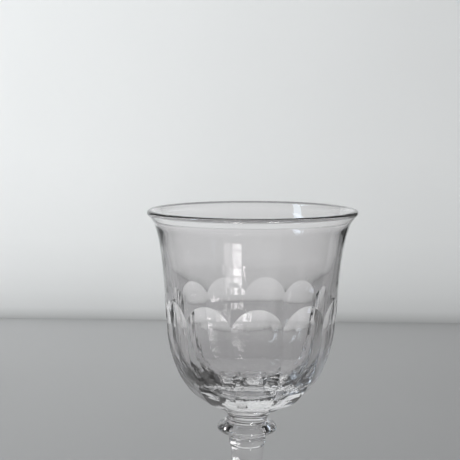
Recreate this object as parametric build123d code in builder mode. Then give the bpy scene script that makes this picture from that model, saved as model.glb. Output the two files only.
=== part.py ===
from build123d import *

import math
import os

# A stemmed wine glass in clear lead glass, in millimetres. The origin is at the centre of the foot,
# on the surface that the glass stands on, and +Z is its axis. It is made as a glassmaker makes it:
# six gathers are joined hot, so each piece meets the next on a flat seam right across the axis.

# Mouth and bowl
rim_height = 138.8
rim_radius = 40.0
lip_radius = 1.1  # the fire-polished bead round the mouth
cavity_floor = 71.6  # height of the lowest point inside the bowl

# The seams between the pieces, as radius and height
bowl_seam = (13.1, 62.7)
neck_seam = (8.35, 55.7)
knop_seam = (6.9, 49.8)
collar_seam = (6.65, 46.3)
foot_seam = (8.6, 9.0)

# The flutes, ground flat across so that each pair of neighbours meets in a ridge
flute_count = 11
flute_first = 4.6  # bearing of the first flute from -Y towards +X, in degrees
flute_crown = (33.2, 106.4)  # on the wall, at the top of each flute's arch
flute_spring = (32.35, 92.0)  # on the wall, where the wheel starts to rise out of it
ridge_polish = 0.004  # share of the radius that polishing takes off a ridge

# Merese, knop, collar and stem
merese_radius = 12.9
neck_radius = 8.0
knop_radius = 11.6
knop_height = 53.0
collar_radius = 7.15
waist_radius = 5.3
waist_height = 27.0

# Foot
foot_radius = 34.0
foot_edge = 2.8  # thickness of the foot at its rim
rest_inner = 25.0  # the glass stands on the flat ring outside this radius
hollow_rise = 1.2  # height of the underside above the table
pontil_radius = 9.0  # the polished dish where the pontil rod was ground away
pontil_depth = 0.6

# The wall of the bowl: radius and height, from just under the lip to the base
flare = [(37.8, 134.6), (36.15, 130.2), (34.7, 122.8), (33.65, 114.0)]
belly = [(33.0, 102.0), (32.3, 91.5), (29.9, 81.0), (25.5, 71.6), (18.6, 64.6)]
cavity = [(35.8, 133.8), (34.15, 129.4), (32.5, 121.6), (31.1, 111.5), (29.9, 101.0)]
cavity_base = [(28.9, 90.0), (25.7, 81.5), (19.5, 75.3), (11.0, 72.3)]

base_slope = (-0.945, -0.327)  # the way the wall runs where it meets the merese
even_pace = (1, 1)  # end tangents as long as the curve's own speed

# The lip bead is round outside and runs smoothly into the wall inside
lip_centre = (rim_radius - lip_radius, rim_height - lip_radius)
outer_join = math.radians(-50)
inner_join = math.radians(150)
under_lip = (
    lip_centre[0] + lip_radius * math.cos(outer_join),
    lip_centre[1] + lip_radius * math.sin(outer_join),
)
over_lip = (
    lip_centre[0] + lip_radius * math.cos(inner_join),
    lip_centre[1] + lip_radius * math.sin(inner_join),
)

# A flat between two ridges stands this share of the ridge's radius from the axis
flat_share = math.cos(math.pi / flute_count) * (1 - ridge_polish)
wheel_reach = 6.0  # how far the grinding wheel stands clear of the wall
wheel_width = 26.0

# The grinding wheel that cuts one flute: flat across, and as deep as the ridges leave it
with BuildPart() as flute_wheel:
    with BuildSketch(Plane.XZ):
        with BuildLine():
            ground = [(radius * flat_share, height) for radius, height in belly[2:]]
            spring = (flute_spring[0] * flat_share, flute_spring[1])
            foot_end = (bowl_seam[0] * flat_share, bowl_seam[1])
            Spline(
                [spring, *ground, foot_end],
                tangents=[(0, -1), base_slope],
                tangent_scalars=even_pace,
            )
            wheel_arc = TangentArc(spring, flute_crown, tangent=(0, 1))
            clear = flute_crown + (wheel_arc % 1) * wheel_reach
            outside = rim_radius + wheel_reach
            below = bowl_seam[1] - wheel_reach
            Polyline(
                flute_crown,
                clear,
                (outside, clear.Y),
                (outside, below),
                (foot_end[0], below),
                foot_end,
            )
        make_face()
    extrude(amount=wheel_width / 2, both=True)

# Bowl: blown, flared to a beaded lip, thick at the base and cut with flutes
with BuildPart() as bowl:
    with BuildSketch(Plane.XZ):
        with BuildLine():
            Spline(
                [under_lip, *flare, *belly],
                tangents=[(-0.62, -0.78), base_slope],
                tangent_scalars=even_pace,
            )
            Polyline(belly[-1], bowl_seam, (0, bowl_seam[1]), (0, cavity_floor))
            Spline(
                [(0, cavity_floor), *reversed(cavity_base), *reversed(cavity), over_lip],
                tangents=[(1, 0), (0.5, 0.87)],
                tangent_scalars=even_pace,
            )
            ThreePointArc(over_lip, (lip_centre[0], rim_height), under_lip)
        make_face()
    revolve(axis=Axis.Z)
    for turn in PolarLocations(0, flute_count, start_angle=flute_first - 90).locations:
        with Locations(turn):
            add(flute_wheel.part, mode=Mode.SUBTRACT)
bowl.part.label = "bowl"

# Merese: the thin flange under the bowl, drawn in to the neck
merese_edge = 0.5
with BuildPart() as merese:
    with BuildSketch(Plane.XZ):
        with BuildLine():
            flange_top = (bowl_seam[0] - 0.3, bowl_seam[1])
            flange_under = (merese_radius - 0.7, bowl_seam[1] - 2 * merese_edge)
            ThreePointArc(
                flange_top,
                (merese_radius, bowl_seam[1] - merese_edge),
                flange_under,
            )
            Spline(
                [flange_under, (9.6, 60.0), (neck_radius, 57.1), neck_seam],
                tangents=[(-0.9, -0.42), (0.35, -0.94)],
                tangent_scalars=even_pace,
            )
            Polyline(neck_seam, (0, neck_seam[1]), (0, bowl_seam[1]), flange_top)
        make_face()
    revolve(axis=Axis.Z)
merese.part.label = "merese"

# Knop: a flattened ring, domed above and nearly flat below
with BuildPart() as ring_knop:
    with BuildSketch(Plane.XZ):
        with BuildLine():
            knop_side = (knop_radius, knop_height)
            Spline(
                [neck_seam, (10.4, 54.6), knop_side],
                tangents=[(0.75, -0.66), (0, -1)],
                tangent_scalars=even_pace,
            )
            knop_turn = (knop_radius - 1.0, knop_height - 1.0)
            RadiusArc(knop_side, knop_turn, 1.0)
            Spline(
                [knop_turn, (8.2, 51.1), knop_seam],
                tangents=[(-1, 0), (-0.15, -0.99)],
                tangent_scalars=even_pace,
            )
            Polyline(knop_seam, (0, knop_seam[1]), (0, neck_seam[1]), neck_seam)
        make_face()
    revolve(axis=Axis.Z)
ring_knop.part.label = "ring_knop"

# Collar: the narrow band between the knop and the stem
collar_round = 0.35
with BuildPart() as collar:
    with BuildSketch(Plane.XZ):
        with BuildLine():
            FilletPolyline(
                knop_seam,
                (knop_seam[0] + 0.02, knop_seam[1] - 0.7),
                (collar_radius, knop_seam[1] - 1.0),
                (collar_radius, collar_seam[1] + 0.5),
                collar_seam,
                radius=collar_round,
            )
            Polyline(collar_seam, (0, collar_seam[1]), (0, knop_seam[1]), knop_seam)
        make_face()
    revolve(axis=Axis.Z)
collar.part.label = "collar"

# Stem: drawn solid, narrow at the waist and spread where it meets the foot
with BuildPart() as stem:
    with BuildSketch(Plane.XZ):
        with BuildLine():
            Spline(
                [
                    collar_seam,
                    (6.15, 39.5),
                    (waist_radius, waist_height),
                    (6.0, 14.5),
                    foot_seam,
                ],
                tangents=[(-0.12, -1), (0.72, -0.69)],
                tangent_scalars=even_pace,
            )
            Polyline(foot_seam, (0, foot_seam[1]), (0, collar_seam[1]), collar_seam)
        make_face()
    revolve(axis=Axis.Z)
stem.part.label = "stem"

# Foot: a disc that rises gently to the stem, with a hollow underside and a ground pontil
with BuildPart() as foot:
    with BuildSketch(Plane.XZ):
        with BuildLine():
            edge_radius = foot_edge / 2
            edge_top = (foot_radius - edge_radius, foot_edge)
            rest_outer = (foot_radius - edge_radius, 0)
            hollow_edge = (rest_inner - 4, hollow_rise)
            hollow_centre = (0, hollow_rise)
            Spline(
                [foot_seam, (14.0, 6.1), (24.0, 4.0), edge_top],
                tangents=[(0.72, -0.69), (1, -0.1)],
                tangent_scalars=even_pace,
            )
            ThreePointArc(edge_top, (foot_radius, edge_radius), rest_outer)
            Polyline(
                rest_outer,
                (rest_inner, 0),
                hollow_edge,
                hollow_centre,
                (0, foot_seam[1]),
                foot_seam,
            )
        make_face()
    revolve(axis=Axis.Z)
    dish_radius = (pontil_radius**2 + pontil_depth**2) / (2 * pontil_depth)
    with Locations((0, 0, hollow_rise + pontil_depth - dish_radius)):
        Sphere(dish_radius, mode=Mode.SUBTRACT)
foot.part.label = "foot"

os.makedirs("parts", exist_ok=True)
for piece in (bowl, merese, ring_knop, collar, stem, foot):
    export_step(piece.part, f"parts/{piece.part.label}.step")
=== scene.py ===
"""The looks of a stemmed wine glass in clear lead glass, blown, cut with flutes and joined hot.

Each piece is spun as a closed shell, carved or bent a little out of true as handwork is, and given
clear glass. Where two pieces are fused, the seam inside the glass is made see-through, so the light
goes from one piece to the next as it does in the real glass. Sizes are in millimetres, heights are
above the surface that the glass stands on, and meshes are scaled to metres as they are made.
"""

import logging
import math
from bisect import bisect_left
from dataclasses import dataclass, field
from enum import Enum
from functools import cached_property

import bmesh
import bpy
from mathutils import Matrix, Vector, noise
from mathutils.geometry import interpolate_bezier


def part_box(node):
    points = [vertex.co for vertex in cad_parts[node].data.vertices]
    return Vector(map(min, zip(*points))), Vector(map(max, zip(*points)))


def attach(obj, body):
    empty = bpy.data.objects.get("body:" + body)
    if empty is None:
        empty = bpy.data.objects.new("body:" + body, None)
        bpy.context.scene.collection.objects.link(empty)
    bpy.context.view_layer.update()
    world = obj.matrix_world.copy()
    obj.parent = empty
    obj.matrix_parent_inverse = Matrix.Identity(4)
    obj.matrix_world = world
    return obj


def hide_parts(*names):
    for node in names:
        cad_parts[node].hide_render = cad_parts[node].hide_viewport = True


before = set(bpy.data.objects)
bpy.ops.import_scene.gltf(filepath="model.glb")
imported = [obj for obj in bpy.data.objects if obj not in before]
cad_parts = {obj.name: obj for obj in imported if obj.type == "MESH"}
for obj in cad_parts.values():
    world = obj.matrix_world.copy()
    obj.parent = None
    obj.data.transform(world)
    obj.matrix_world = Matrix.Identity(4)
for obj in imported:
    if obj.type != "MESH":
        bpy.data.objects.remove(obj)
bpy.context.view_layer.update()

MM = 0.001
BODY = "root"
FLUTES = 11
COLUMNS_PER_FLUTE = 20
COLUMNS = FLUTES * COLUMNS_PER_FLUTE

log = logging.getLogger("wine_glass")

Point = tuple[float, float]


class Slot(Enum):
    """The record's material slots, one for each kind of glass."""

    BOWL = "bowl_glass"
    STEM = "stem_glass"


class Face(Enum):
    """The two kinds of face on a piece of glass, by the index of their material."""

    GLASS = 0
    SEAM = 1


def smoothstep(low: float, high: float, value: float) -> float:
    """Ease from 0 to 1.

    Args:
        low: the value where the result is 0.
        high: the value where the result is 1.
        value: the value to place between them.

    Returns:
        The eased share, from 0 to 1.
    """
    share = min(max((value - low) / (high - low), 0.0), 1.0)
    return share * share * (3.0 - 2.0 * share)


def node_box(node: str) -> tuple[Vector, Vector]:
    """Read a CAD node's box.

    Args:
        node: the node's name.

    Returns:
        Its lowest and highest corners, in millimetres.
    """
    low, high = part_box(node)
    return Vector(low) / MM, Vector(high) / MM


MOUTH_RADIUS = node_box("bowl")[1].x
RIM_HEIGHT = node_box("bowl")[1].z


def curve_through(stations: list[Point], start: Point, end: Point, per_span: int = 24) -> list[Point]:
    """Draw a smooth curve through a few stations.

    Args:
        stations: the points that the curve passes, as radius and height.
        start: the direction at the first station.
        end: the direction at the last station.
        per_span: the number of steps between two stations.

    Returns:
        Closely spaced points on the curve, the first and last stations among them.
    """
    points = [Vector((r, z, 0.0)) for r, z in stations]
    slopes = [Vector((*start, 0.0)).normalized()]
    for before, here, after in zip(points, points[1:], points[2:]):
        back, on = (here - before).length, (after - here).length
        slope = (here - before) / back * on + (after - here) / on * back
        slopes.append(slope.normalized())
    slopes.append(Vector((*end, 0.0)).normalized())
    drawn = [stations[0]]
    for k, (here, after) in enumerate(zip(points, points[1:])):
        third = (after - here).length / 3.0
        span = interpolate_bezier(
            here, here + slopes[k] * third, after - slopes[k + 1] * third, after, per_span + 1
        )
        drawn += [(p.x, p.y) for p in span[1:]]
    return drawn


def arc(centre: Point, radius: float, first: float, last: float, steps: int) -> list[Point]:
    """Draw an arc.

    Args:
        centre: the arc's centre, as radius and height.
        radius: the arc's own radius.
        first: the bearing of its first point, in degrees from outwards, turning upwards.
        last: the bearing of its last point.
        steps: the number of steps between them.

    Returns:
        The points of the arc.
    """
    bearings = [math.radians(first + (last - first) * k / steps) for k in range(steps + 1)]
    return [(centre[0] + radius * math.cos(b), centre[1] + radius * math.sin(b)) for b in bearings]


def respaced(points: list[Point], spacing: float) -> list[Point]:
    """Thin a closely drawn curve to even steps.

    Args:
        points: the drawn curve.
        spacing: the greatest length of a step.

    Returns:
        Evenly spaced points on the curve, with both of its ends.
    """
    travelled = [0.0]
    for a, b in zip(points, points[1:]):
        travelled.append(travelled[-1] + math.dist(a, b))
    steps = max(1, math.ceil(travelled[-1] / spacing))
    even = [points[0]]
    for k in range(1, steps):
        goal = travelled[-1] * k / steps
        n = bisect_left(travelled, goal)
        share = (goal - travelled[n - 1]) / (travelled[n] - travelled[n - 1])
        even.append(
            (
                points[n - 1][0] + (points[n][0] - points[n - 1][0]) * share,
                points[n - 1][1] + (points[n][1] - points[n - 1][1]) * share,
            )
        )
    return [*even, points[-1]]


def seam_face(radius: float, height: float) -> list[Point]:
    """The outline of a flat seam, from the axis out to its edge."""
    return [(radius * share, height) for share in (0.0, 0.35, 0.7, 1.0)]


@dataclass(frozen=True)
class HandWork:
    """How far the finished glass is out of true, as a glass made by hand is."""

    lip_rise: float = 0.0125  # the mouth rises this much for each unit across, towards +X
    rise_from: float = 64.0
    rise_full: float = 100.0
    knop_drift: float = -0.75  # the knop was dropped on this far off the bowl's axis
    knop_bend: tuple[float, float] = (61.5, 55.5)  # heights where that drift starts and is full
    stem_drift: float = -0.5
    stem_bend: tuple[float, float] = (51.5, 47.5)
    ripple: float = 0.035  # soft waves that blowing leaves in the wall
    ripple_size: float = 14.0
    ripple_upright: float = 0.45  # waves up the wall for each one in the same length round it

    def drift(self, height: float) -> float:
        """Find how far the axis stands to one side.

        Args:
            height: the height up the glass.

        Returns:
            The axis's place along X there.
        """
        to_knop = smoothstep(*self.knop_bend, height)
        to_stem = smoothstep(*self.stem_bend, height)
        return self.knop_drift * to_knop + (self.stem_drift - self.knop_drift) * to_stem

    def place(self, co: Vector) -> Vector:
        """Move one point from its true place to where the hand left it.

        Args:
            co: the point in its true place.

        Returns:
            The point's place on the finished glass, whose lip keeps its height on the +X side.
        """
        rise = self.lip_rise * (co.x - MOUTH_RADIUS) * smoothstep(self.rise_from, self.rise_full, co.z)
        return Vector((co.x + self.drift(co.z), co.y, co.z + rise))

    def wave(self, co: Vector, seed: float) -> float:
        """Find the height of the blown wall's soft waves.

        Args:
            co: the point on the wall.
            seed: a number that sets one side of the wall apart from the other.

        Returns:
            The height there, outwards or inwards.
        """
        return self.ripple * noise.noise(
            Vector((co.x, co.y, co.z * self.ripple_upright)) / self.ripple_size
            + Vector((seed, 0.0, 0.0))
        )


HAND = HandWork()


@dataclass(frozen=True)
class ClearGlass:
    """Old clear lead glass: faintly lavender, with cords and reeds left by the working."""

    name: str
    tint: tuple[float, float, float] = (0.955, 0.94, 0.945)
    thin_tint: tuple[float, float, float] = (0.975, 0.965, 0.968)
    ior: float = 1.53
    roughness: float = 0.0
    cords: float = 0.012  # millimetres of relief in the broad, soft waves
    reeds: float = 0.0  # millimetres of relief in the fine upright lines
    reeds_fade: tuple[float, float] = (0.112, 0.104)  # from none to full, in metres up
    rings: float = 0.0  # millimetres of relief in the rings that tooling leaves
    rings_fade: tuple[float, float] = (0.078, 0.070)

    def relief(
        self,
        material: bpy.types.Material,
        waves: tuple[float, float, float],
        height: float,
        fade: tuple[float, float] = (2.0, 1.0),
    ) -> tuple[bpy.types.NodeSocket, bpy.types.NodeSocket]:
        """Add one pattern of relief.

        Args:
            material: the material that it belongs to.
            waves: how many waves there are to a metre along each axis.
            height: the height of the waves, in millimetres.
            fade: the heights up the glass, in metres, where there is no relief and where it is full.

        Returns:
            The pattern from 0 to 1, and the same pattern as a faded height in millimetres.
        """
        nodes, links = material.node_tree.nodes, material.node_tree.links
        where = nodes.new("ShaderNodeTexCoord")
        stretch = nodes.new("ShaderNodeMapping")
        stretch.inputs["Scale"].default_value = waves
        links.new(where.outputs["Object"], stretch.inputs["Vector"])
        pattern = nodes.new("ShaderNodeTexNoise")
        pattern.inputs["Scale"].default_value = 1.0
        pattern.inputs["Detail"].default_value = 0.0
        pattern.inputs["Distortion"].default_value = 0.5
        links.new(stretch.outputs["Vector"], pattern.inputs["Vector"])
        split = nodes.new("ShaderNodeSeparateXYZ")
        links.new(where.outputs["Object"], split.inputs["Vector"])
        share = nodes.new("ShaderNodeMapRange")
        share.inputs["From Min"].default_value, share.inputs["From Max"].default_value = fade
        share.inputs["To Max"].default_value = height
        links.new(split.outputs["Z"], share.inputs["Value"])
        raised = nodes.new("ShaderNodeMath")
        raised.operation = "MULTIPLY"
        links.new(pattern.outputs["Fac"], raised.inputs[0])
        links.new(share.outputs["Result"], raised.inputs[1])
        return pattern.outputs["Fac"], raised.outputs["Value"]

    def build(self) -> bpy.types.Material:
        """Make the material.

        Returns:
            The glass, with soft cords, fine upright reeds and tooled rings.
        """
        material = bpy.data.materials.new(self.name)
        material.use_nodes = True
        nodes, links = material.node_tree.nodes, material.node_tree.links
        shader = nodes["Principled BSDF"]
        shader.inputs["IOR"].default_value = self.ior
        shader.inputs["Transmission Weight"].default_value = 1.0
        shader.inputs["Roughness"].default_value = self.roughness
        pattern, height = self.relief(material, (90.0, 90.0, 22.0), self.cords)
        ramp = nodes.new("ShaderNodeValToRGB")
        ramp.color_ramp.elements[0].color = (*self.tint, 1.0)
        ramp.color_ramp.elements[1].color = (*self.thin_tint, 1.0)
        links.new(pattern, ramp.inputs["Fac"])
        links.new(ramp.outputs["Color"], shader.inputs["Base Color"])
        for waves, relief, fade in (
            ((950.0, 950.0, 5.0), self.reeds, self.reeds_fade),
            ((60.0, 60.0, 450.0), self.rings, self.rings_fade),
        ):
            _, more = self.relief(material, waves, relief, fade)
            total = nodes.new("ShaderNodeMath")
            links.new(height, total.inputs[0])
            links.new(more, total.inputs[1])
            height = total.outputs["Value"]
        bump = nodes.new("ShaderNodeBump")
        bump.inputs["Strength"].default_value = 1.0
        bump.inputs["Distance"].default_value = MM
        links.new(height, bump.inputs["Height"])
        links.new(bump.outputs["Normal"], shader.inputs["Normal"])
        return material


@dataclass(frozen=True)
class FusedSeam:
    """The face inside the glass where two hot pieces have become one."""

    name: str = "fused_seam"

    def build(self) -> bpy.types.Material:
        """Make the material.

        Returns:
            A fully see-through finish, with no shine and no bending of the light.
        """
        material = bpy.data.materials.new(self.name)
        material.use_nodes = True
        nodes, links = material.node_tree.nodes, material.node_tree.links
        nodes.remove(nodes["Principled BSDF"])
        clear = nodes.new("ShaderNodeBsdfTransparent")
        links.new(clear.outputs["BSDF"], nodes["Material Output"].inputs["Surface"])
        return material


@dataclass
class Gather:
    """One piece of glass, spun from an outline that starts and ends on the axis."""

    node: str
    slot: Slot = Slot.STEM
    seams: tuple[float, ...] = ()  # heights of the flat faces fused to a neighbour
    thick: bool = True  # thick enough to throw a shadow; thin clear glass lets the light by

    def outline(self) -> list[Point]:
        """The outline, from the axis at the bottom, out and up, to the axis at the top."""
        raise NotImplementedError

    def shape(self, bm: bmesh.types.BMesh) -> None:
        """Shape the spun shell further. A plain turned piece has nothing to add."""

    def spin(self) -> bmesh.types.BMesh:
        """Spin the outline into a closed shell.

        Returns:
            The shell, in millimetres, with its poles closed.
        """
        bm = bmesh.new()
        verts = [bm.verts.new((radius, 0.0, height)) for radius, height in self.outline()]
        edges = [bm.edges.new(pair) for pair in zip(verts, verts[1:])]
        bmesh.ops.spin(
            bm,
            geom=verts + edges,
            cent=(0.0, 0.0, 0.0),
            axis=(0.0, 0.0, 1.0),
            angle=math.tau,
            steps=COLUMNS,
            use_merge=True,
        )
        poles = [v for v in bm.verts if math.hypot(v.co.x, v.co.y) < 1e-4]
        bmesh.ops.remove_doubles(bm, verts=poles, dist=1e-3)
        return bm

    def build(self, glass: bpy.types.Material, seam: bpy.types.Material) -> bpy.types.Object:
        """Make the piece and put it in the scene.

        Args:
            glass: the material of its skin.
            seam: the material of its fused faces.

        Returns:
            The finished piece, which stands for its CAD node.
        """
        bm = self.spin()
        self.shape(bm)
        bmesh.ops.recalc_face_normals(bm, faces=bm.faces)
        for face in bm.faces:
            face.smooth = True
            level = face.calc_center_median().z
            flat = abs(face.normal.z) > 0.999
            if flat and any(abs(level - height) < 0.02 for height in self.seams):
                face.material_index = Face.SEAM.value
        for vert in bm.verts:
            vert.co = HAND.place(vert.co) * MM
        mesh = bpy.data.meshes.new(f"{self.node}_glass")
        bm.to_mesh(mesh)
        bm.free()
        mesh.materials.append(glass)
        mesh.materials.append(seam)
        piece = bpy.data.objects.new(f"{self.node}_glass", mesh)
        bpy.context.scene.collection.objects.link(piece)
        piece.visible_shadow = self.thick
        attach(piece, BODY)
        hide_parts(self.node)
        return piece


@dataclass
class Bowl(Gather):
    """The blown bell with its beaded lip and its ground flutes."""

    thick: bool = False
    lip_radius: float = 1.1
    seam_radius: float = 13.1
    cavity_floor: float = 71.6
    flare: list[Point] = field(
        default_factory=lambda: [(37.8, 134.6), (36.15, 130.2), (34.7, 122.8), (33.65, 114.0)]
    )
    belly: list[Point] = field(
        default_factory=lambda: [(33.0, 102.0), (32.3, 91.5), (29.9, 81.0), (25.5, 71.6), (18.6, 64.6)]
    )
    cavity: list[Point] = field(
        default_factory=lambda: [(35.8, 133.8), (34.15, 129.4), (32.5, 121.6), (31.1, 111.5), (29.9, 101.0)]
    )
    cavity_base: list[Point] = field(
        default_factory=lambda: [(28.9, 90.0), (25.7, 81.5), (19.5, 75.3), (11.0, 72.3)]
    )
    base_slope: Point = (0.945, 0.327)  # the way the outside leaves the seam
    lip_slope: Point = (0.62, 0.78)  # and the way it reaches the bead
    lip_ends: tuple[float, float] = (-50.0, 150.0)  # bearings where the bead leaves the wall
    first_flute: float = 4.6  # bearing of the first flute from -Y towards +X, in degrees
    crown: float = 106.4
    spring: float = 92.0  # height where the grinding wheel starts to rise out of the wall
    ridge_polish: float = 0.004
    bend_from: float = 76.0  # the rows of points start to bend towards the arches at this height
    bend_over: float = 20.0  # and are level again this far above the crown
    uncut_lip: float = 3.0  # the flutes never reach this close to the rim
    calm_lip: tuple[float, float] = (1.5, 9.0)  # below the rim, where the waves start and are full
    inside_seed: float = 7.3  # the inside has its own waves

    def wall(self) -> list[Point]:
        """Draw the outside of the uncut wall.

        Returns:
            Its points, from the base up to the underside of the lip bead.
        """
        base = (self.seam_radius, self.seams[0])
        stations = [base, *reversed(self.belly), *reversed(self.flare), self.bead()[0]]
        return curve_through(stations, self.base_slope, self.lip_slope, per_span=80)

    def bead(self) -> list[Point]:
        """The round of the lip, from the outside of the wall over to its inside."""
        centre = (MOUTH_RADIUS - self.lip_radius, RIM_HEIGHT - self.lip_radius)
        return arc(centre, self.lip_radius, *self.lip_ends, 24)

    def outline(self) -> list[Point]:
        """Draw the wall, with close rows of points beside the crowns of the flutes.

        Returns:
            Its points, up the outside, over the lip and down the inside.
        """
        outside = self.wall()
        below = [p for p in outside if p[1] < self.crown]
        above = [p for p in outside if p[1] > self.crown]
        crown = (self.wall_radius(self.crown), self.crown)
        base = [(self.seam_radius * share, self.seams[0]) for share in (0.0, 0.3, 0.6, 0.85, 0.94)]
        bead = self.bead()
        hollow = [*self.cavity, *self.cavity_base, (0.0, self.cavity_floor)]
        inside = curve_through([bead[-1], *hollow], (-0.5, -0.87), (-1.0, 0.0), per_span=40)
        return [
            *base,
            *self.graded([*below, crown])[:-1],
            *reversed(self.graded([*reversed(above), crown])),
            *bead[1:-1],
            *respaced(inside, 1.0),
        ]

    @staticmethod
    def graded(run: list[Point]) -> list[Point]:
        """Space a run of points wider and wider away from its last one.

        Args:
            run: a closely drawn curve that ends at a crease.

        Returns:
            Points on the curve, 0.12 apart at the crease and about 1 apart away from it.
        """
        kept = [run[-1]]
        step = 0.12
        for point in reversed(run[:-1]):
            if math.dist(point, kept[-1]) >= step:
                kept.append(point)
                step = min(step * 1.6, 1.0)
        if math.dist(kept[-1], run[0]) < 0.4:
            kept.pop()
        return [run[0], *reversed(kept)]

    def wall_radius(self, height: float) -> float:
        """Find the radius of the uncut wall.

        Args:
            height: the height up the glass.

        Returns:
            The wall's radius there.
        """
        heights, radii = self.wall_steps
        n = min(max(bisect_left(heights, height), 1), len(heights) - 1)
        share = (height - heights[n - 1]) / (heights[n] - heights[n - 1])
        return radii[n - 1] + (radii[n] - radii[n - 1]) * min(max(share, 0.0), 1.0)

    @cached_property
    def wall_steps(self) -> tuple[list[float], list[float]]:
        """The heights and radii of the uncut wall, closely spaced and drawn only once."""
        drawn = self.wall()
        return [p[1] for p in drawn], [p[0] for p in drawn]

    def flat_distance(self, height: float) -> float:
        """Find how far the middle of a ground flat stands from the axis.

        Args:
            height: the height up the glass.

        Returns:
            The distance there, which grows along the wheel's arc above the spring.
        """
        share = math.cos(math.pi / FLUTES) * (1.0 - self.ridge_polish)
        if height <= self.spring:
            return self.wall_radius(height) * share
        start = self.wall_radius(self.spring) * share
        depth = self.wall_radius(self.crown) - start
        rise = self.crown - self.spring
        wheel = (rise * rise + depth * depth) / (2.0 * depth)
        up = min(height - self.spring, rise * 1.2)
        return start + wheel - math.sqrt(wheel * wheel - up * up)

    def arch_height(self, off_middle: float) -> float:
        """The height of a flute's arch.

        Args:
            off_middle: the bearing from the middle of the flute, in radians.

        Returns:
            The height where the ground flat runs out into the wall there.
        """
        low, high = self.spring - 3.0, self.crown + 0.5
        for _ in range(40):
            middle = (low + high) / 2.0
            if self.flat_distance(middle) / math.cos(off_middle) < self.wall_radius(middle):
                low = middle
            else:
                high = middle
        return low

    def shape(self, bm: bmesh.types.BMesh) -> None:
        """Gather the columns at the ridges, bring the rows to the arches and grind the flats.

        Args:
            bm: the spun shell, whose outside is cut and whose inside is left round.
        """
        half = math.pi / FLUTES
        first = math.radians(self.first_flute - 90.0)
        top = self.arch_height(0.0)
        arches: dict[int, float] = {}  # kept by a column's place between flat and ridge
        for vert in bm.verts:
            radius = math.hypot(vert.co.x, vert.co.y)
            height = vert.co.z
            if radius < 1e-3:
                continue
            turn = math.atan2(vert.co.y, vert.co.x)
            flute = round(turn / (2.0 * half))
            share = (turn - flute * 2.0 * half) / half
            off_middle = half * math.sin(share * math.pi / 2.0)
            under_lip = height <= RIM_HEIGHT - self.uncut_lip
            outside = under_lip and radius > self.wall_radius(height) - 0.02
            in_base = height < self.seams[0] + 1e-3
            if outside:
                key = round(abs(share) * 1000)
                if key not in arches:
                    arches[key] = self.arch_height(off_middle)
                pulled = arches[key] - top
                if height > self.crown:
                    over = self.crown + self.bend_over
                    height += pulled * (1.0 - smoothstep(self.crown, over, height))
                else:
                    share_up = (height - self.bend_from) / (self.crown - self.bend_from)
                    height += pulled * max(0.0, share_up)
                radius = self.wall_radius(height)
                if height < arches[key] + 1e-4:
                    radius = min(radius, self.flat_distance(height) / math.cos(off_middle))
            elif in_base:
                radius *= self.flat_distance(height) / math.cos(off_middle) / self.seam_radius
            bearing = first + flute * 2.0 * half + off_middle
            vert.co = Vector((radius * math.cos(bearing), radius * math.sin(bearing), height))
            push = HAND.wave(vert.co, 0.0 if outside else self.inside_seed)
            calm, full = self.calm_lip
            push *= smoothstep(RIM_HEIGHT - calm, RIM_HEIGHT - full, height)
            if not in_base:
                vert.co.x += push * math.cos(bearing)
                vert.co.y += push * math.sin(bearing)


@dataclass
class Merese(Gather):
    """The thin flange under the bowl, drawn in to the neck."""

    flange_radius: float = 12.9
    flange_edge: float = 0.5
    neck: tuple[Point, Point] = ((8.0, 57.1), (9.6, 60.0))
    knop_radius: float = 8.35

    def outline(self) -> list[Point]:
        """Draw a rounded flange above a hollow neck.

        Returns:
            Its points, from the knop up to the bowl.
        """
        low, high = self.seams
        edge = arc(
            (self.flange_radius - self.flange_edge, high - self.flange_edge),
            self.flange_edge,
            -75.0,
            90.0,
            8,
        )
        neck = curve_through(
            [(self.knop_radius, low), *self.neck, edge[0]], (-0.35, 0.94), (0.97, 0.26)
        )
        return [
            *seam_face(self.knop_radius, low)[:-1],
            *respaced(neck, 0.35)[:-1],
            *edge,
            *[(edge[-1][0] * share, high) for share in (0.8, 0.5, 0.25, 0.0)],
        ]


@dataclass
class RingKnop(Gather):
    """The flattened ring under the neck, domed above and nearly flat below."""

    radius: float = 11.6
    level: float = 53.0
    edge: float = 1.0
    under: Point = (8.2, 51.1)
    over: Point = (10.4, 54.6)
    neck_radius: float = 8.35
    collar_radius: float = 6.9

    def outline(self) -> list[Point]:
        """Draw the ring.

        Returns:
            Its points, from the collar out round the ring and in to the neck.
        """
        low, high = self.seams
        turn = arc((self.radius - self.edge, self.level), self.edge, -90.0, 0.0, 10)
        under = curve_through(
            [(self.collar_radius, low), self.under, turn[0]], (0.15, 0.99), (1.0, 0.0)
        )
        over = curve_through(
            [turn[-1], self.over, (self.neck_radius, high)], (0.0, 1.0), (-0.75, 0.66)
        )
        return [
            *seam_face(self.collar_radius, low)[:-1],
            *respaced(under, 0.3)[:-1],
            *turn[:-1],
            *respaced(over, 0.3),
            *reversed(seam_face(self.neck_radius, high)[:-1]),
        ]


@dataclass
class Collar(Gather):
    """The narrow band between the knop and the stem."""

    radius: float = 7.15
    corner: float = 0.35
    top_radius: float = 6.9
    foot_radius: float = 6.65

    def outline(self) -> list[Point]:
        """Draw a band with softly rounded edges.

        Returns:
            Its points, from the stem up to the knop.
        """
        low, high = self.seams
        lower = arc((self.radius - self.corner, low + 0.5 + self.corner), self.corner, -60.0, 0.0, 6)
        upper = arc((self.radius - self.corner, high - 1.0 - self.corner), self.corner, 0.0, 80.0, 6)
        return [
            *seam_face(self.foot_radius, low),
            *lower,
            *respaced([lower[-1], upper[0]], 0.3)[1:-1],
            *upper,
            (self.top_radius, high - 0.6),
            (self.top_radius, high - 0.3),
            *reversed(seam_face(self.top_radius, high)),
        ]


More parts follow.
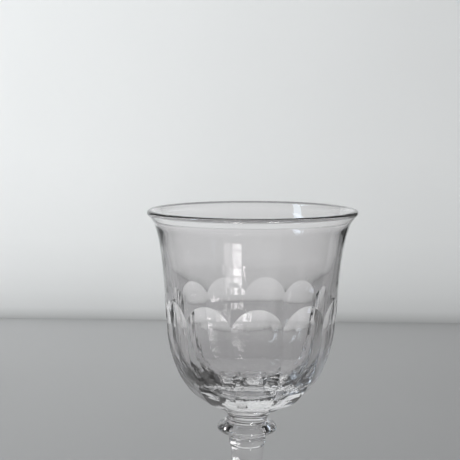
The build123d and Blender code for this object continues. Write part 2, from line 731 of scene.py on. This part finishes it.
@dataclass
class Stem(Gather):
    """The drawn stem, narrow at its waist and spread at the foot."""

    top_radius: float = 6.65
    shoulder: Point = (6.15, 39.5)
    waist: Point = (5.3, 27.0)
    spread: Point = (6.0, 14.5)
    foot_radius: float = 8.6

    def outline(self) -> list[Point]:
        """Draw the stem.

        Returns:
            Its points, from the foot up to the collar.
        """
        low, high = self.seams
        bottom, top = (self.foot_radius, low), (self.top_radius, high)
        side = curve_through(
            [bottom, self.spread, self.waist, self.shoulder, top], (-0.72, 0.69), (0.12, 1.0)
        )
        return [
            *seam_face(self.foot_radius, low)[:-1],
            *respaced(side, 0.6),
            *reversed(seam_face(self.top_radius, high)[:-1]),
        ]


@dataclass
class Foot(Gather):
    """The disc that the glass stands on, hollow underneath, with a ground pontil."""

    thick: bool = False
    radius: float = 34.0
    edge: float = 2.8
    rest_inner: float = 25.0
    hollow_rise: float = 1.2
    pontil_radius: float = 9.0
    pontil_depth: float = 0.6
    upper: tuple[Point, Point] = ((24.0, 4.0), (14.0, 6.1))
    stem_radius: float = 8.6

    def outline(self) -> list[Point]:
        """Draw the foot.

        Returns:
            Its points, from the pontil out over the resting ring and up to the stem.
        """
        (high,) = self.seams
        half = self.edge / 2.0
        dish = curve_through(
            [
                (0.0, self.hollow_rise + self.pontil_depth),
                (self.pontil_radius * 0.5, self.hollow_rise + self.pontil_depth * 0.75),
                (self.pontil_radius, self.hollow_rise),
            ],
            (1.0, 0.0),
            (1.0, -0.133),
        )
        hollow = curve_through(
            [
                (self.pontil_radius + 0.3, self.hollow_rise),
                (self.rest_inner - 4.0, self.hollow_rise),
                (self.rest_inner, 0.0),
            ],
            (1.0, 0.0),
            (0.96, -0.28),
        )
        rim = arc((self.radius - half, half), half, -90.0, 90.0, 16)
        top = curve_through(
            [rim[-1], *self.upper, (self.stem_radius, high)], (-1.0, 0.1), (-0.72, 0.69)
        )
        return [
            *respaced(dish, 0.7),
            *respaced(hollow, 0.8),
            *respaced([hollow[-1], rim[0]], 1.2)[1:-1],
            *rim[:-1],
            *respaced(top, 0.7),
            *reversed(seam_face(self.stem_radius, high)[:-1]),
        ]


@dataclass(frozen=True)
class MattePaint:
    """A matte paint for the floor and backdrop, faintly mottled, with painted shade and light graded along
    one axis.
    """

    name: str
    colour: tuple[float, float, float]
    axis: str
    span: tuple[float, float]  # from and to, in metres, along the axis
    painted_shade_stops: tuple[tuple[float, float], ...]  # share of the span, and how light the paint is there, painted shade and light included
    turn: float = 0.0  # the axis is turned this far about Z, in degrees
    roughness: float = 0.7
    shine: float = 0.2

    def build(self) -> bpy.types.Material:
        """Make the material.

        Returns:
            The faintly mottled paint, with painted shade and light graded along it.
        """
        material = bpy.data.materials.new(self.name)
        material.use_nodes = True
        nodes, links = material.node_tree.nodes, material.node_tree.links
        shader = nodes["Principled BSDF"]
        shader.inputs["Roughness"].default_value = self.roughness
        shader.inputs["Specular IOR Level"].default_value = self.shine
        where = nodes.new("ShaderNodeTexCoord")
        turned = nodes.new("ShaderNodeMapping")
        turned.inputs["Rotation"].default_value = (0.0, 0.0, math.radians(-self.turn))
        links.new(where.outputs["Object"], turned.inputs["Vector"])
        split = nodes.new("ShaderNodeSeparateXYZ")
        links.new(turned.outputs["Vector"], split.inputs["Vector"])
        reach = nodes.new("ShaderNodeMapRange")
        reach.inputs["From Min"].default_value = self.span[0]
        reach.inputs["From Max"].default_value = self.span[1]
        links.new(split.outputs[self.axis], reach.inputs["Value"])
        # painted shade: a ramp along one axis darkens and lightens the paint where the light falls off and
        # where shade gathers
        shade = nodes.new("ShaderNodeValToRGB")
        elements = shade.color_ramp.elements
        while len(elements) < len(self.painted_shade_stops):
            elements.new(0.5)
        for element, (share, light) in zip(elements, self.painted_shade_stops):
            element.position = share
            element.color = (*[c * light for c in self.colour], 1.0)
        links.new(reach.outputs["Result"], shade.inputs["Fac"])
        mottle = nodes.new("ShaderNodeTexNoise")
        mottle.inputs["Scale"].default_value = 6.0
        links.new(where.outputs["Object"], mottle.inputs["Vector"])
        faint = nodes.new("ShaderNodeMapRange")
        faint.inputs["To Min"].default_value = 0.97
        faint.inputs["To Max"].default_value = 1.03
        links.new(mottle.outputs["Fac"], faint.inputs["Value"])
        mixed = nodes.new("ShaderNodeMix")
        mixed.data_type = "RGBA"
        mixed.blend_type = "MULTIPLY"
        mixed.inputs["Factor"].default_value = 1.0
        links.new(shade.outputs["Color"], mixed.inputs["A"])
        links.new(faint.outputs["Result"], mixed.inputs["B"])
        links.new(mixed.outputs["Result"], shader.inputs["Base Color"])
        return material


class LightRole(Enum):
    """What a light is for: to light the room, or to be seen shining in the glass as well."""

    ROOM = "room"
    WINDOW = "window"


@dataclass(frozen=True)
class SoftLight:
    """One soft light, aimed at a point."""

    name: str
    place: tuple[float, float, float]
    aim: tuple[float, float, float]
    size: tuple[float, float]
    radiance: float
    colour: tuple[float, float, float] = (1.0, 1.0, 1.0)
    role: LightRole = LightRole.ROOM

    def build(self) -> None:
        """Put the light in the scene."""
        lamp = bpy.data.lights.new(self.name, "AREA")
        lamp.shape = "RECTANGLE"
        lamp.size, lamp.size_y = self.size
        lamp.energy = self.radiance * math.pi * self.size[0] * self.size[1]
        lamp.color = self.colour
        light = bpy.data.objects.new(self.name, lamp)
        light.location = self.place
        direction = Vector(self.aim) - Vector(self.place)
        light.rotation_euler = direction.to_track_quat("-Z", "Y").to_euler()
        light.visible_camera = False
        light.visible_glossy = self.role is LightRole.WINDOW
        light.visible_transmission = self.role is LightRole.WINDOW
        bpy.context.scene.collection.objects.link(light)


@dataclass(frozen=True)
class PanedWindow:
    """An upright window near the glass, as stacked panes between glazing bars."""

    name: str
    bearing: tuple[float, float]  # its two sides, in degrees from -Y towards +X
    levels: tuple[tuple[float, float], ...]  # the bottom and top of each pane
    radiance: float
    distance: float = 0.69
    colour: tuple[float, float, float] = (1.0, 1.0, 1.0)

    def build(self) -> None:
        """Put one light in the scene for each pane."""
        middle = math.radians(sum(self.bearing) / 2.0)
        half = math.radians(abs(self.bearing[1] - self.bearing[0]) / 2.0)
        for k, (bottom, top) in enumerate(self.levels):
            level = (bottom + top) / 2.0
            SoftLight(
                f"{self.name}_{k}",
                (self.distance * math.sin(middle), -self.distance * math.cos(middle), level),
                (0.0, 0.0, level),
                (2.0 * self.distance * math.tan(half), top - bottom),
                self.radiance,
                self.colour,
                LightRole.WINDOW,
            ).build()


BACKDROP_TURN = 2.06  # degrees; the backdrop stands nearer on the left
# painted shade: the floor is darker towards the camera and in a thin band along the foot of the backdrop
FLOOR_PAINT_AND_SHADE = MattePaint(
    name="floor_paint_and_shade",
    colour=(0.387, 0.388, 0.39),
    axis="Y",
    span=(0.0, 0.4362),
    painted_shade_stops=((0.0, 0.85), (0.25, 0.88), (0.7, 0.98), (0.9, 1.0), (0.97, 0.97), (1.0, 0.86)),
    turn=BACKDROP_TURN,
    roughness=0.5,
)
# painted shade: the backdrop is darkest at its foot, by the floor, and grows lighter towards its top
BACKDROP_PAINT_AND_SHADE = MattePaint(
    name="backdrop_paint_and_shade",
    colour=(0.84, 0.845, 0.84),
    axis="Z",
    span=(0.0, 0.2),
    painted_shade_stops=(
        (0.0, 0.5),
        (0.018, 0.6),
        (0.05, 0.745),
        (0.13, 0.84),
        (0.22, 0.905),
        (0.36, 0.97),
        (0.53, 1.0),
        (0.72, 1.03),
    ),
)


@dataclass
class Studio:
    """A pale floor and backdrop, both with painted shade graded along them, and soft light."""

    floor_far: float = 0.4365
    floor_near: float = -0.9
    half_width: float = 1.6
    wall_left: float = 0.33
    wall_right: float = 0.24
    wall_height: float = 0.55
    wall_foot: float = -0.05  # the backdrop reaches below the floor, so no gap shows
    room_colour: tuple[float, float, float] = (1.0, 0.99, 0.98)
    room_strength: float = 0.08

    def panel(self, name: str, corners: tuple[Vector, Vector, Vector, Vector]) -> bpy.types.Object:
        """Make one flat panel of the stage.

        Args:
            name: the panel's name.
            corners: its corners, in order round it.

        Returns:
            The panel.
        """
        bm = bmesh.new()
        bm.faces.new([bm.verts.new(corner) for corner in corners])
        mesh = bpy.data.meshes.new(name)
        bm.to_mesh(mesh)
        bm.free()
        piece = bpy.data.objects.new(name, mesh)
        bpy.context.scene.collection.objects.link(piece)
        return piece

    def build(self) -> None:
        """Put up the floor, the backdrop and the lights."""
        side, near, far = self.half_width, self.floor_near, self.floor_far
        slant = math.tan(math.radians(BACKDROP_TURN))
        floor = self.panel(
            "floor",
            (
                Vector((-side, near, 0.0)),
                Vector((side, near, 0.0)),
                Vector((side, far + side * slant, 0.0)),
                Vector((-side, far - side * slant, 0.0)),
            ),
        )
        floor.data.materials.append(FLOOR_PAINT_AND_SHADE.build())
        left, right, top = -self.wall_left, self.wall_right, self.wall_height
        wall = self.panel(
            "backdrop",
            (
                Vector((left, far + left * slant, self.wall_foot)),
                Vector((right, far + right * slant, self.wall_foot)),
                Vector((right, far + right * slant, top)),
                Vector((left, far + left * slant, top)),
            ),
        )
        wall.data.materials.append(BACKDROP_PAINT_AND_SHADE.build())
        world = bpy.data.worlds.new("room")
        world.use_nodes = True
        background = world.node_tree.nodes["Background"]
        background.inputs["Color"].default_value = (*self.room_colour, 1.0)
        background.inputs["Strength"].default_value = self.room_strength
        bpy.context.scene.world = world
        lights = (
            SoftLight(
                "window_left",
                (-1.3, -0.25, 0.75),
                (0.0, 0.35, 0.25),
                (0.9, 1.1),
                7.9,
                (0.985, 1.0, 1.0),
            ),
            SoftLight("ceiling", (0.1, 0.1, 1.9), (0.0, 0.2, 0.0), (1.6, 1.2), 1.45, (1.0, 0.985, 0.965)),
            PanedWindow("bright_sash", (15.0, 28.0), ((0.0, 0.12), (0.123, 0.152)), 22.0),
            PanedWindow("dim_sash", (28.6, 40.0), ((0.0, 0.152),), 3.2),
            PanedWindow("far_window", (-63.0, -74.0), ((0.40, 1.50),), 5.0, 1.2, (0.75, 0.87, 1.0)),
            SoftLight(
                "room_behind",
                (0.0, -1.7, 0.5),
                (0.0, 0.0, 0.3),
                (3.2, 1.0),
                0.3,
                role=LightRole.WINDOW,
            ),
        )
        for light in lights:
            light.build()


@dataclass(frozen=True)
class Eye:
    """The camera, at the height and distance of someone seated at the table."""

    distance: float = 0.333
    height: float = 0.1673
    turn_left: float = 1.448
    tilt_down: float = 6.38
    roll: float = 0.8
    lens: float = 68.7
    film_width: float = 36.0

    def build(self) -> None:
        """Put the camera in the scene and look through it."""
        data = bpy.data.cameras.new("eye")
        data.lens = self.lens
        data.sensor_width = self.film_width
        data.clip_start = 0.01
        camera = bpy.data.objects.new("eye", data)
        aim = (
            Matrix.Rotation(math.radians(self.turn_left), 4, "Z")
            @ Matrix.Rotation(math.radians(90.0 - self.tilt_down), 4, "X")
            @ Matrix.Rotation(math.radians(self.roll), 4, "Z")
        )
        camera.matrix_world = Matrix.Translation((0.0, -self.distance, self.height)) @ aim
        bpy.context.scene.collection.objects.link(camera)
        bpy.context.scene.camera = camera


def set_up_light_paths() -> None:
    """Let light pass through many walls of glass before it is given up."""
    scene = bpy.context.scene
    scene.view_settings.view_transform = "Standard"
    scene.cycles.max_bounces = 24
    scene.cycles.transmission_bounces = 24
    scene.cycles.glossy_bounces = 12
    scene.cycles.transparent_max_bounces = 24


def main() -> None:
    """Build the glass, from the mouth to the foot, and the studio round it."""
    logging.basicConfig(level=logging.INFO, format="%(name)s %(message)s")
    set_up_light_paths()
    Eye().build()
    Studio().build()
    seam = FusedSeam().build()
    bowl_glass = ClearGlass("bowl_lead_glass", reeds=0.035, rings=0.11).build()
    stem_glass = ClearGlass("stem_lead_glass", rings=0.04).build()
    levels = {node: (node_box(node)[0].z, node_box(node)[1].z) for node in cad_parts}
    pieces: list[tuple[Gather, bpy.types.Material]] = [
        (Bowl("bowl", Slot.BOWL, (levels["bowl"][0],)), bowl_glass),
        (Merese("merese", Slot.STEM, levels["merese"]), stem_glass),
        (RingKnop("ring_knop", Slot.STEM, levels["ring_knop"]), stem_glass),
        (Collar("collar", Slot.STEM, levels["collar"]), stem_glass),
        (Stem("stem", Slot.STEM, levels["stem"]), stem_glass),
        (Foot("foot", Slot.STEM, (levels["foot"][1],)), stem_glass),
    ]
    for piece, glass in pieces:
        made = piece.build(glass, seam)
        log.info("%s: %d faces", made.name, len(made.data.polygons))


if __name__ == "__main__":
    main()
